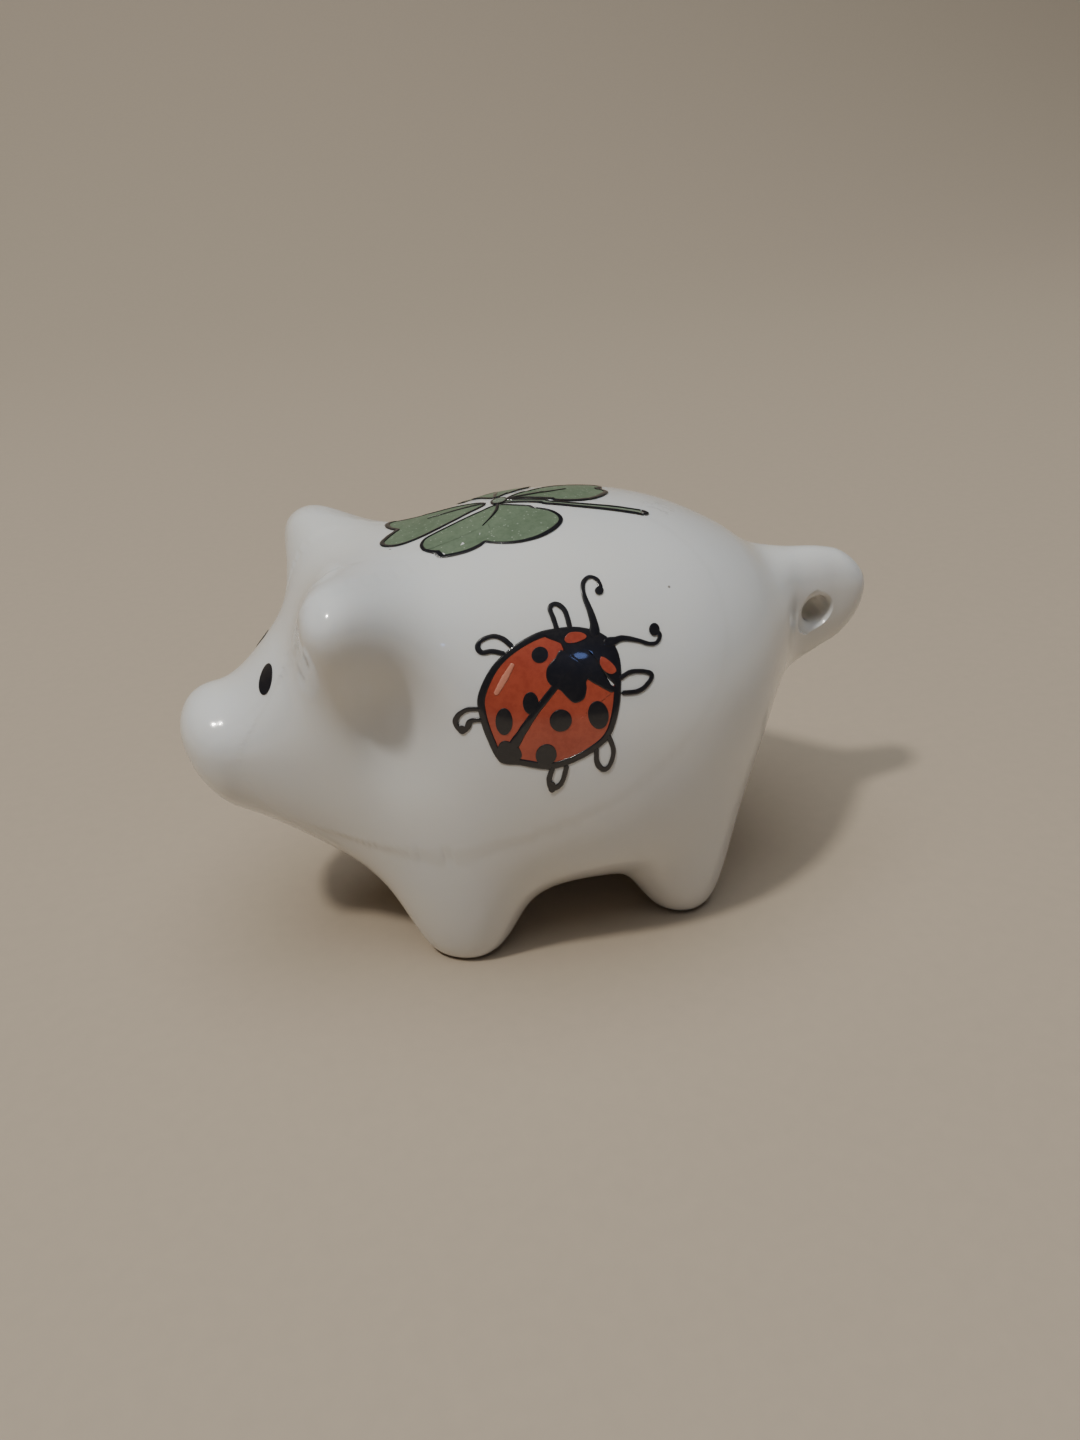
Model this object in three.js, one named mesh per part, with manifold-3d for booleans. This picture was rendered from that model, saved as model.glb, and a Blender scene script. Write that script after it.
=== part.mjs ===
// A small lucky pig in glazed porcelain, 50 mm long: a hollow casting on four stub legs, a flat tail
// lug pierced for a thread, two eyes, a ladybird on the left flank and a four-leaf clover on the back.
// The nose points to -X, the left flank to -Y, and the soles stand on z = 0.
import * as THREE from 'three';
import { mergeVertices } from 'three/addons/utils/BufferGeometryUtils.js';
import Module from 'manifold-3d';

const wasm = await Module();
wasm.setup();

// ---- Driving dimensions, in millimetres -------------------------------------------------------

// Each row: x, height of the widest line, half width, rise of the back above it, drop to the belly
const SECTIONS = [
  [-25.0, 17.6, 4.1, 3.3, 3.8],
  [-21.6, 17.1, 4.4, 3.5, 5.2],
  [-17.6, 17.0, 6.2, 6.1, 7.6],
  [-13.1, 16.1, 8.7, 10.1, 9.7],
  [-8.1, 16.2, 11.1, 11.9, 11.9],
  [-2.1, 16.2, 12.6, 13.9, 12.8],
  [3.9, 16.8, 13.0, 13.2, 13.0],
  [9.4, 17.6, 11.7, 11.1, 10.6],
  [13.7, 18.6, 8.7, 7.8, 7.8],
  [16.3, 19.6, 5.7, 4.9, 5.9],
  [18.5, 20.1, 3.0, 3.9, 5.2],
  [21.4, 20.6, 1.9, 3.0, 4.6],
  [25.0, 20.3, 2.0, 2.2, 3.0],
];
const SQUARENESS = 2.1; // exponent of the cross-section: 2 is an ellipse, more is boxier
const SNOUT_ROUND = 2.8; // length of the rounding at the snout
const TAIL_ROUND = 2.6; // length of the rounding at the tail's tip

const LEGS = [[-8.25, 6.15, 4.0], [8.15, 6.45, 3.6]]; // x, half track, radius half way up
const LEG_STEEPNESS = 5.7; // how abruptly a leg leaves the belly
const LEG_REACH = 9.2; // height over which the belly turns into a leg
const HAUNCH = { share: 0.24, reach: 1.62, steepness: 2.8 }; // the gentler pull round each leg
const SOLE_CUT = 0.12; // what is ground off under each foot

// Pushes of the skin, with y outwards: root, lean, height, reach to snout, to tail and to each side
const EAR = [[-12.4, 5.2, 24.6], [-0.38, 0.7, 0.61], 6.3, 2.9, 3.7, 4.0];
const EAR_HOLLOW = [[-11.5, 9.6, 20.0], [0.1, 1.0, 0.0], -2.1, 2.4, 3.3, 4.4]; // under the ear
const PUSH_STEEPNESS = 3.0; // how abruptly a push leaves the skin round it
const PUSH_DEPTH = 6.0; // the skin further behind the root than this stays as it is

const WALL = 2.4; // thickness of the cast wall
const HOLLOW = [-21.0, 15.2]; // where the hollow starts and ends along x
const POUR_HOLE = { x: 1.0, z: 4.0, radius: 3.0 }; // in the belly, for the slip to run out
const JOINT_X = 19.0; // the tail lug is stuck on here
const JOINT_GAP = 0.3;
const THREAD_HOLE = { x: 20.6, z: 19.4, radius: 1.2 };

const FILM = 0.12; // thickness of a printed layer
const FIRST_LIFT = 0.1; // height of the colour layer over the glaze
const SECOND_LIFT = 0.32; // height of the black layer, over the colour
const THIRD_LIFT = 0.54; // height of the patches on the black layer

const RINGS = 56; // facets of the casting, along and around
const SPOKES = 44;
const HOLLOW_RINGS = 26;
const HOLLOW_SPOKES = 24;
const HOLE_SPOKES = 28;
const DRILL = 12; // length of the cylinders that cut the holes
const ROOM = 40; // half size of the blocks that cut the casting

// ---- The skin ---------------------------------------------------------------------------------

const smooth = (t) => t * t * (3 - 2 * t);
const clamp = (v, low, high) => Math.min(Math.max(v, low), high);
const roundEnd = (t) => Math.sqrt(Math.max(1 - (1 - clamp(t, 0, 1)) ** 2, 0));

// Slope of column c at row i, the mean of the two neighbouring slopes weighted by the other's length
function slope(i, c) {
  const part = (j) => (SECTIONS[j + 1][c] - SECTIONS[j][c]) / (SECTIONS[j + 1][0] - SECTIONS[j][0]);
  if (i === 0) return part(0);
  if (i === SECTIONS.length - 1) return part(i - 1);
  const before = SECTIONS[i][0] - SECTIONS[i - 1][0];
  const after = SECTIONS[i + 1][0] - SECTIONS[i][0];
  return (part(i - 1) * after + part(i) * before) / (before + after);
}

// Height of the widest line, half width, rise and drop at x, on cubics through the sections
function section(x) {
  let i = 0;
  while (i < SECTIONS.length - 2 && x > SECTIONS[i + 1][0]) i++;
  const length = SECTIONS[i + 1][0] - SECTIONS[i][0];
  const t = (x - SECTIONS[i][0]) / length;
  return [1, 2, 3, 4].map((c) => (2 * t ** 3 - 3 * t ** 2 + 1) * SECTIONS[i][c]
    + (t ** 3 - 2 * t ** 2 + t) * length * slope(i, c)
    + (3 * t ** 2 - 2 * t ** 3) * SECTIONS[i + 1][c]
    + (t ** 3 - t ** 2) * length * slope(i + 1, c));
}

// Pulls a point that is under the belly down: gently round each leg, and all the way in the leg
function leg(p, middle) {
  const low = smooth(clamp((middle + 1 - p.z) / LEG_REACH, 0, 1));
  for (const [x, track, radius] of LEGS) {
    for (const side of [-1, 1]) {
      const distance = Math.hypot(p.x - x, p.y - side * track) / radius;
      p.z -= p.z * low * HAUNCH.share / (1 + (distance / HAUNCH.reach) ** HAUNCH.steepness);
      p.z -= (p.z + SOLE_CUT) * low / (1 + distance ** LEG_STEEPNESS);
    }
  }
}

// Pushes a point along the lean, by a share that falls with its distance from the push's axis
function push(p, side, [root, lean, height, front, back, across]) {
  const out = new THREE.Vector3(lean[0], side * lean[1], lean[2]).normalize();
  const from = p.clone().sub(new THREE.Vector3(root[0], side * root[1], root[2]));
  const along = from.dot(out);
  if (along < -PUSH_DEPTH) return;
  from.addScaledVector(out, -along);
  const fore = new THREE.Vector3(1, 0, 0);
  fore.addScaledVector(out, -fore.dot(out)).normalize();
  const a = from.dot(fore);
  const b = from.dot(out.clone().cross(fore));
  const distance = Math.hypot(a / (a < 0 ? front : back), b / across);
  p.addScaledVector(out, height / (1 + distance ** PUSH_STEEPNESS));
}

const power = (v) => Math.sign(v) * Math.abs(v) ** (2 / SQUARENESS);

// Point of the outer skin at x, where angle 0 is the back and a quarter turn is the left flank
function skin(x, angle) {
  const ends = [SECTIONS[0][0], SECTIONS[SECTIONS.length - 1][0]];
  const round = roundEnd((x - ends[0]) / SNOUT_ROUND) * roundEnd((ends[1] - x) / TAIL_ROUND);
  const [middle, half, rise, drop] = section(x);
  const up = power(Math.cos(angle));
  const p = new THREE.Vector3(x, -half * round * power(Math.sin(angle)), 0);
  p.z = middle + round * up * (up > 0 ? rise : drop);
  leg(p, middle);
  for (const shape of [EAR, EAR_HOLLOW]) {
    push(p, -1, shape);
    push(p, 1, shape);
  }
  return p;
}

// Point of the hollow's skin: the same sections less the wall, without legs or ears
function hollowSkin(x, angle) {
  const round = roundEnd((x - HOLLOW[0]) / WALL) * roundEnd((HOLLOW[1] - x) / WALL);
  const [middle, half, rise, drop] = section(x);
  const up = Math.cos(angle);
  const height = up * ((up > 0 ? rise : drop) - WALL);
  return new THREE.Vector3(x, -(half - WALL) * round * Math.sin(angle), middle + round * height);
}

// Point lifted off the outer skin along its normal
function lifted(x, angle, lift) {
  const step = 0.02;
  const along = skin(x + step, angle).sub(skin(x - step, angle));
  const around = skin(x, angle + step).sub(skin(x, angle - step));
  return skin(x, angle).addScaledVector(along.cross(around).normalize(), -lift);
}

// ---- Solids -----------------------------------------------------------------------------------

function meshOf(positions, triangles) {
  const geometry = new THREE.BufferGeometry();
  geometry.setAttribute('position', new THREE.Float32BufferAttribute(positions, 3));
  geometry.setIndex(triangles);
  return geometry;
}

function solidOf(geometry) {
  const bare = geometry.clone();
  bare.deleteAttribute('normal');
  bare.deleteAttribute('uv');
  const merged = mergeVertices(bare, 1e-5);
  const vertProperties = new Float32Array(merged.attributes.position.array);
  const triVerts = new Uint32Array(merged.index.array);
  return new wasm.Manifold(new wasm.Mesh({ numProp: 3, vertProperties, triVerts }));
}

function geometryOf(solid) {
  const mesh = solid.getMesh();
  return meshOf(Array.from(mesh.vertProperties), Array.from(mesh.triVerts));
}

// Closed skin from one end's pole to the other's; cosine spacing packs the rings at the ends
function loft(point, from, to, rings, spokes) {
  const positions = [...point(from, 0).toArray()];
  for (let i = 1; i < rings; i++) {
    const t = i / rings;
    const even = from + (to - from) * t;
    const packed = from + (to - from) * (1 - Math.cos(Math.PI * t)) / 2;
    for (let j = 0; j < spokes; j++) {
      positions.push(...point((even + packed) / 2, 2 * Math.PI * j / spokes).toArray());
    }
  }
  positions.push(...point(to, 0).toArray());
  const last = positions.length / 3 - 1;
  const at = (i, j) => 1 + (i - 1) * spokes + (j % spokes);
  const triangles = [];
  for (let j = 0; j < spokes; j++) {
    triangles.push(0, at(1, j + 1), at(1, j));
    for (let i = 1; i < rings - 1; i++) {
      triangles.push(at(i, j), at(i, j + 1), at(i + 1, j), at(i, j + 1), at(i + 1, j + 1), at(i + 1, j));
    }
    triangles.push(at(rings - 1, j), at(rings - 1, j + 1), last);
  }
  return meshOf(positions, triangles);
}

function block(low, high) {
  const size = high.map((v, i) => v - low[i]);
  return solidOf(new THREE.BoxGeometry(...size).translate(...low.map((v, i) => v + size[i] / 2)));
}

// ---- Prints: flat shapes in millimetres, laid round the skin ----------------------------------

// A print's sheet: its middle on the skin, what a turn of one radian measures there, the share of
// a millimetre along the sheet that is a millimetre of x, and the turn of the drawing on the sheet
const LADYBIRD = { x: -2.0, angle: THREE.MathUtils.degToRad(68.5), radius: 13.3, share: 1, turn: Math.PI / 4 };
const CLOVER = { x: -1.8, angle: THREE.MathUtils.degToRad(-1.3), radius: 12.6, share: 1, turn: 0 };
const EYE_X = -18.4;
const EYE_ANGLE = THREE.MathUtils.degToRad(30);
const EYE = [0.66, 1.15]; // half width and half height
const EYE_SHEET = { radius: 6.1, share: 0.72 };

// Places a point of a drawing (p, q) on its sheet, at a height over the skin
function onSheet(sheet, p, q, lift) {
  const u = p * Math.cos(sheet.turn) - q * Math.sin(sheet.turn);
  const v = p * Math.sin(sheet.turn) + q * Math.cos(sheet.turn);
  return lifted(sheet.x + u * sheet.share, sheet.angle - v / sheet.radius, lift);
}

// Film of a star-shaped outline: rings of points shrink from the outline to its centre
function film(sheet, outline, centre, lift, rings) {
  const count = outline.length;
  const positions = [];
  for (const height of [lift, lift + FILM]) {
    positions.push(...onSheet(sheet, centre.x, centre.y, height).toArray());
    for (let k = 1; k <= rings; k++) {
      for (const point of outline) {
        const p = centre.clone().lerp(point, k / rings);
        positions.push(...onSheet(sheet, p.x, p.y, height).toArray());
      }
    }
  }
  const layer = 1 + rings * count;
  const at = (side, k, j) => (k === 0 ? side * layer : side * layer + 1 + (k - 1) * count + (j % count));
  const triangles = [];
  const face = (a, b, c, side) => triangles.push(...(side ? [a, b, c] : [a, c, b]));
  for (let j = 0; j < count; j++) {
    for (const side of [0, 1]) {
      face(at(side, 0, 0), at(side, 1, j), at(side, 1, j + 1), side);
      for (let k = 1; k < rings; k++) {
        face(at(side, k, j), at(side, k + 1, j), at(side, k + 1, j + 1), side);
        face(at(side, k, j), at(side, k + 1, j + 1), at(side, k, j + 1), side);
      }
    }
    face(at(0, rings, j), at(0, rings, j + 1), at(1, rings, j + 1), 1);
    face(at(0, rings, j), at(1, rings, j + 1), at(1, rings, j), 1);
  }
  return meshOf(positions, triangles);
}

// Joins flat shapes into one and bends the result round the skin
function linework(sheet, shapes) {
  const options = { depth: FILM, bevelEnabled: false, curveSegments: 7 };
  const solids = shapes.map((shape) => solidOf(new THREE.ExtrudeGeometry(shape, options)));
  const geometry = geometryOf(solids.reduce((all, one) => all.add(one)));
  const place = geometry.attributes.position;
  for (let i = 0; i < place.count; i++) {
    const p = onSheet(sheet, place.getX(i), place.getY(i), SECOND_LIFT + place.getZ(i));
    place.setXYZ(i, p.x, p.y, p.z);
  }
  return geometry;
}

// Stroke along a smooth curve through the points, its width running from first to last
function stroke(points, first, last = first, steps = 10) {
  const curve = new THREE.SplineCurve(points.map(([x, y]) => new THREE.Vector2(x, y)));
  const left = [];
  const right = [];
  for (let i = 0; i <= steps; i++) {
    const t = i / steps;
    const p = curve.getPoint(t);
    const d = curve.getTangent(t);
    const half = (first + (last - first) * t) / 2;
    left.push(new THREE.Vector2(p.x - d.y * half, p.y + d.x * half));
    right.unshift(new THREE.Vector2(p.x + d.y * half, p.y - d.x * half));
  }
  return new THREE.Shape([...left, ...right]);
}

// Strip of film along a smooth curve, moved sideways: four corners at each step, closed at both ends
function strip(sheet, points, aside, width, lift) {
  const curve = new THREE.SplineCurve(points.map(([x, y]) => new THREE.Vector2(x, y)));
  const positions = [];
  for (let i = 0; i <= STRIP_STEPS; i++) {
    const p = curve.getPoint(i / STRIP_STEPS);
    const d = curve.getTangent(i / STRIP_STEPS);
    for (const [side, height] of [[-1, lift], [1, lift], [1, lift + FILM], [-1, lift + FILM]]) {
      const out = aside + side * width / 2;
      positions.push(...onSheet(sheet, p.x - d.y * out, p.y + d.x * out, height).toArray());
    }
  }
  const triangles = [0, 2, 1, 0, 3, 2];
  for (let i = 0; i < STRIP_STEPS; i++) {
    for (let j = 0; j < 4; j++) {
      const [a, b] = [4 * i + j, 4 * i + (j + 1) % 4];
      triangles.push(a, b, b + 4, a, b + 4, a + 4);
    }
  }
  const last = 4 * STRIP_STEPS;
  triangles.push(last, last + 1, last + 2, last, last + 2, last + 3);
  return meshOf(positions, triangles);
}

function oval(x, y, rx, ry, turn = 0) {
  return new THREE.Shape().absellipse(x, y, rx, ry, 0, 2 * Math.PI, false, turn);
}

// Outline of a shape as evenly spaced points, without the repeated last one
function outlineOf(shape, count) {
  return shape.getSpacedPoints(count).slice(0, count);
}

// Band inside an outline, its inner edge being the outline shrunk towards a centre
function ring(points, centre, width) {
  const inner = points.map((p) => {
    const arm = p.clone().sub(centre);
    return centre.clone().add(arm.multiplyScalar(1 - width / arm.length()));
  });
  const band = new THREE.Shape(points);
  band.holes.push(new THREE.Path(inner.reverse()));
  return band;
}

// ---- The ladybird's drawing: p runs to its head, q to its left --------------------------------

const BUG_RADIUS = 4.1;
const BUG_LINE = 0.34; // width of the rim
const LEG_LINE = 0.26;
const WING_FRONT = 2.7; // where the wing cases meet the head
const SEAM_HALF = 0.12;
const SPOTS = [ // p, q, half length, half width, turn
  [1.9, 2.2, 0.5, 0.5, 0],
  [-0.7, 1.1, 0.62, 0.4, 0.5],
  [-2.5, 1.5, 0.8, 0.45, 0.6],
  [-0.5, -1.1, 0.65, 0.65, 0],
  [1.0, -2.7, 0.85, 0.6, 0.9],
  [-2.6, -1.6, 0.6, 0.6, 0],
];
const CHEEKS = [[3.85, 1.0, 0.55, 0.3, 1.0], [3.6, -1.45, 0.6, 0.3, -1.5]];
const GLINT = [-0.4, 3.1, 1.15, 0.2, 0.15];
const BUG_LEGS = [
  [[1.4, 3.7], [1.6, 4.6], [1.3, 5.3], [0.6, 5.6], [0.3, 5.1], [0.7, 4.6], [0.8, 3.8]],
  [[3.4, 2.0], [4.2, 2.8], [4.7, 3.4], [5.1, 3.1], [4.9, 2.4], [3.8, 1.5]],
  [[-2.6, 2.9], [-3.3, 3.6], [-4.0, 3.6], [-4.5, 3.2], [-4.5, 2.8], [-3.7, 2.9], [-3.1, 2.4]],
  [[3.1, -2.4], [4.2, -2.9], [4.8, -4.0], [4.2, -4.2], [3.5, -3.9], [2.7, -2.9]],
  [[0.4, -3.9], [-0.2, -4.9], [-1.0, -5.3], [-1.4, -5.0], [-1.2, -4.5], [-0.6, -3.9]],
  [[-2.4, -3.1], [-3.3, -3.6], [-4.0, -3.3], [-3.7, -2.8], [-2.9, -2.6]],
];
const FEELERS = [
  [[4.8, 0.3], [5.8, 1.2], [6.5, 2.1], [7.2, 2.6], [7.9, 2.4], [7.9, 1.9], [7.5, 1.6]],
  [[4.6, -0.6], [5.5, -1.3], [6.1, -2.3], [6.4, -3.0], [6.9, -3.3], [7.2, -2.9], [7.2, -2.6]],
];

// Half of the back, from the seam out to the rim; side 1 is the bug's left
function wingCase(side) {
  const reach = BUG_RADIUS - BUG_LINE / 2;
  const front = Math.acos(WING_FRONT / reach);
  const shape = new THREE.Shape();
  shape.moveTo(WING_FRONT, side * SEAM_HALF);
  for (let i = 0; i <= 16; i++) {
    const a = front + (Math.PI - 0.06 - front) * i / 16;
    shape.lineTo(reach * Math.cos(a), side * Math.max(reach * Math.sin(a), SEAM_HALF * 2));
  }
  shape.lineTo(-reach + 0.05, side * SEAM_HALF);
  shape.closePath();
  const outline = outlineOf(shape, 30);
  return side > 0 ? outline : outline.reverse();
}

function ladybirdLines() {
  const head = new THREE.Shape();
  head.moveTo(WING_FRONT, 2.6);
  head.quadraticCurveTo(4.4, 2.2, 4.9, 0.8);
  head.quadraticCurveTo(5.3, -0.6, 4.5, -1.6);
  head.quadraticCurveTo(3.8, -2.5, WING_FRONT, -2.6);
  head.quadraticCurveTo(2.2, 0, WING_FRONT, 2.6);
  const shield = new THREE.Shape();
  shield.moveTo(2.7, 1.1);
  shield.bezierCurveTo(1.6, 1.9, 0.8, 1.3, 0.8, 0.5);
  shield.bezierCurveTo(0.8, 0.2, 1.0, -0.2, 0.8, -0.6);
  shield.bezierCurveTo(0.6, -1.4, 1.4, -1.8, 2.6, -0.9);
  shield.lineTo(2.7, 1.1);
  const tip = new THREE.Shape();
  tip.moveTo(-4.75, 0.05);
  tip.quadraticCurveTo(-4.0, 0.5, -3.5, 0.9);
  tip.lineTo(-3.3, -0.7);
  tip.quadraticCurveTo(-4.1, -0.4, -4.75, 0.05);
  return [
    ring(outlineOf(oval(0, 0, BUG_RADIUS, BUG_RADIUS), 36), new THREE.Vector2(0, 0), BUG_LINE),
    head,
    shield,
    tip,
    stroke([[1.0, 0.3], [-1.2, 0.25], [-3.8, 0.1]], 0.36, 0.6, 8),
    ...BUG_LEGS.map((points) => stroke(points, LEG_LINE)),
    ...FEELERS.map((points) => stroke(points, 0.5, 0.22)),
    ...FEELERS.map((points) => oval(...points[points.length - 1], 0.32, 0.32)),
  ];
}

// ---- The clover's drawing: p runs to the tail, q over the back to the right flank --------------

// Each leaflet: its centre, its vein, and its outline from its point round both lobes
const LEAFLETS = {
  near: {
    centre: [-1.2, -2.6],
    vein: [[-0.3, -0.75], [-1.0, -1.9], [-1.7, -2.8]],
    outline: [[-0.2, -0.6], [-2.6, -1.1], [-4.9, -1.75], [-5.2, -2.7], [-4.9, -3.5], [-3.9, -4.05],
      [-2.6, -4.2], [-1.9, -4.0], [-1.3, -4.35], [0.1, -4.9], [1.6, -4.7], [2.8, -4.0], [3.1, -3.2],
      [2.4, -2.0], [1.1, -1.3]],
  },
  front: {
    centre: [-4.6, 0.7],
    vein: [[-1.05, 0.12], [-2.8, 0.75], [-4.2, 1.2]],
    outline: [[-0.9, 0.1], [-3.4, -0.7], [-6.0, -1.4], [-6.9, -1.3], [-7.15, -0.5], [-6.6, 0.4],
      [-6.1, 0.8], [-6.4, 1.5], [-6.3, 2.3], [-5.7, 2.9], [-4.2, 2.7], [-2.2, 1.5]],
  },
  far: {
    centre: [0.5, 3.2],
    vein: [[0.02, 0.92], [0.3, 2.2], [0.5, 3.2]],
    outline: [[0.0, 0.8], [-0.9, 2.0], [-1.9, 3.3], [-1.8, 4.5], [-0.8, 5.0], [0.2, 4.6], [0.6, 4.4],
      [1.1, 4.7], [2.2, 5.0], [3.0, 4.3], [2.8, 3.2], [1.4, 1.8]],
  },
  back: {
    centre: [4.8, 0.9],
    vein: [[0.85, 0.12], [3.0, 0.5], [4.9, 1.0]],
    outline: [[0.7, 0.1], [2.5, -0.5], [4.5, -1.15], [6.0, -0.85], [7.2, 0.0], [7.4, 0.8], [7.0, 1.3],
      [7.4, 1.9], [7.3, 2.7], [6.2, 3.0], [4.4, 2.4], [2.4, 1.2]],
  },
};
const LEAF_LINE = 0.24;
const VEIN_LINE = [0.2, 0.1];
const KNOT = [0.1, -0.05]; // where the leaflets and the stem meet
const KNOT_SIZE = [0.5, 0.42];
const STEM = [[0.2, -0.25], [2.6, -1.15], [4.5, -1.8], [8.8, -2.9]];
const STEM_HALF = 0.24; // from the middle of the stem to the middle of its dark edges
const STEM_LINE = 0.2;
const STRIP_STEPS = 16;

// Evenly spaced points, anticlockwise, on a smooth closed curve through the leaflet's outline
function leafletOutline({ outline }, count) {
  const curve = new THREE.CatmullRomCurve3(outline.map(([x, y]) => new THREE.Vector3(x, y, 0)), true);
  const spaced = curve.getSpacedPoints(count).slice(0, count);
  const points = spaced.map(({ x, y }) => new THREE.Vector2(x, y));
  return THREE.ShapeUtils.isClockWise(points) ? points.reverse() : points;
}

function leafletLines(leaflet) {
  const centre = new THREE.Vector2(...leaflet.centre);
  return [
    ring(leafletOutline(leaflet, 40), centre, LEAF_LINE),
    stroke(leaflet.vein, ...VEIN_LINE, 5),
  ];
}

// ---- Colours ----------------------------------------------------------------------------------

const finish = (color, roughness) => new THREE.MeshStandardMaterial({ color, roughness, metalness: 0 });
const COLOURS = {
  porcelain: [0xe9e8e2, 0.12],
  black: [0x17161a, 0.25],
  red: [0xb5402a, 0.2],
  green: [0x6f8a6b, 0.25],
  pink: [0xd9a48f, 0.2],
};

// ---- Assembly ---------------------------------------------------------------------------------

const pig = new THREE.Group();
pig.name = 'lucky_pig';

function piece(name, geometry, colour) {
  const mesh = new THREE.Mesh(geometry, finish(...COLOURS[colour]));
  mesh.name = name;
  pig.add(mesh);
}

function addPorcelain() {
  const ends = [SECTIONS[0][0], SECTIONS[SECTIONS.length - 1][0]];
  const whole = solidOf(loft(skin, ...ends, RINGS, SPOKES));
  const standing = whole.subtract(block([-ROOM, -ROOM, -ROOM], [ROOM, ROOM, 0]));
  const hollow = solidOf(loft(hollowSkin, ...HOLLOW, HOLLOW_RINGS, HOLLOW_SPOKES));
  const pour = new THREE.CylinderGeometry(POUR_HOLE.radius, POUR_HOLE.radius, DRILL, HOLE_SPOKES);
  pour.rotateX(Math.PI / 2).translate(POUR_HOLE.x, 0, POUR_HOLE.z);
  const thread = new THREE.CylinderGeometry(THREAD_HOLE.radius, THREAD_HOLE.radius, DRILL, HOLE_SPOKES);
  thread.translate(THREAD_HOLE.x, 0, THREAD_HOLE.z);
  const casting = standing
    .subtract(block([JOINT_X - JOINT_GAP, -ROOM, -ROOM], [ROOM, ROOM, ROOM]))
    .subtract(hollow)
    .subtract(solidOf(pour));
  const lug = standing.subtract(block([-ROOM, -ROOM, -ROOM], [JOINT_X, ROOM, ROOM]));
  piece('porcelain_body', geometryOf(casting), 'porcelain');
  piece('tail_lug', geometryOf(lug.subtract(solidOf(thread))), 'porcelain');
}

function addEyes() {
  for (const [name, side] of [['eye_left', 1], ['eye_right', -1]]) {
    const sheet = { ...EYE_SHEET, x: EYE_X, angle: side * EYE_ANGLE, turn: side * -0.25 };
    const outline = outlineOf(oval(0, 0, ...EYE), 18);
    piece(name, film(sheet, outline, new THREE.Vector2(0, 0), FIRST_LIFT, 3), 'black');
  }
}

function addLadybird() {
  for (const [name, side] of [['ladybird_wing_case_left', 1], ['ladybird_wing_case_right', -1]]) {
    const centre = new THREE.Vector2(-0.3, side * 1.8);
    piece(name, film(LADYBIRD, wingCase(side), centre, FIRST_LIFT, 4), 'red');
  }
  piece('ladybird_linework', linework(LADYBIRD, ladybirdLines()), 'black');
  const patch = (name, [p, q, rx, ry, turn], lift, colour) => {
    const outline = outlineOf(oval(p, q, rx, ry, turn), 16);
    piece(name, film(LADYBIRD, outline, new THREE.Vector2(p, q), lift, 2), colour);
  };
  SPOTS.forEach((spot, i) => patch(`ladybird_spot_${i + 1}`, spot, SECOND_LIFT, 'black'));
  CHEEKS.forEach((cheek, i) => patch(`ladybird_cheek_${i + 1}`, cheek, THIRD_LIFT, 'red'));
  patch('ladybird_glint', GLINT, SECOND_LIFT, 'pink');
}

function addClover() {
  for (const [name, leaflet] of Object.entries(LEAFLETS)) {
    const centre = new THREE.Vector2(...leaflet.centre);
    const leaf = film(CLOVER, leafletOutline(leaflet, 32), centre, FIRST_LIFT, 4);
    piece(`clover_leaflet_${name}`, leaf, 'green');
    piece(`clover_outline_${name}`, linework(CLOVER, leafletLines(leaflet)), 'black');
  }
  piece('clover_stem', strip(CLOVER, STEM, 0, 2 * STEM_HALF, FIRST_LIFT), 'green');
  for (const [name, side] of [['near', -1], ['far', 1]]) {
    const edge = strip(CLOVER, STEM, side * STEM_HALF, STEM_LINE, SECOND_LIFT);
    piece(`clover_stem_edge_${name}`, edge, 'black');
  }
  const knot = outlineOf(oval(...KNOT, ...KNOT_SIZE), 18);
  piece('clover_knot', film(CLOVER, knot, new THREE.Vector2(...KNOT), THIRD_LIFT, 2), 'green');
}

addPorcelain();
addEyes();
addLadybird();
addClover();

export default pig;
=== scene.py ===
"""A small lucky pig in glazed porcelain: the looks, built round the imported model.

The pig stands on z = 0 with its snout to -X and its left flank to -Y. Shapes are worked out in
millimetres, as surfaces of a place along the pig (x) and an angle round it, and stored in metres.
"""
import math

import bmesh
import bpy
import numpy as np
from mathutils import Matrix, Vector


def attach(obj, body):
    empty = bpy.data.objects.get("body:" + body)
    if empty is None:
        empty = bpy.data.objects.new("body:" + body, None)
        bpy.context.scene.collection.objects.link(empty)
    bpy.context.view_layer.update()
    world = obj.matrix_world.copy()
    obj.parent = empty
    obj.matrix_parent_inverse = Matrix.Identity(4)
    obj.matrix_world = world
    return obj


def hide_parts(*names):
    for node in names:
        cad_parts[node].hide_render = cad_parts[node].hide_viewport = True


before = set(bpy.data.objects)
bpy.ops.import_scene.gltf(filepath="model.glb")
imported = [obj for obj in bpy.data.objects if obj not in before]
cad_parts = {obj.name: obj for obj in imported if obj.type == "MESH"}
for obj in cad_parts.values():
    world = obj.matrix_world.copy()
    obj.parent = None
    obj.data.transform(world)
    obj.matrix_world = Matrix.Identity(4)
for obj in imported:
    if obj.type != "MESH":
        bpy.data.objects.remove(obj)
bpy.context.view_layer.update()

MM = 0.001

# ---- Driving dimensions, in millimetres, as in the CAD source ---------------------------------

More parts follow.
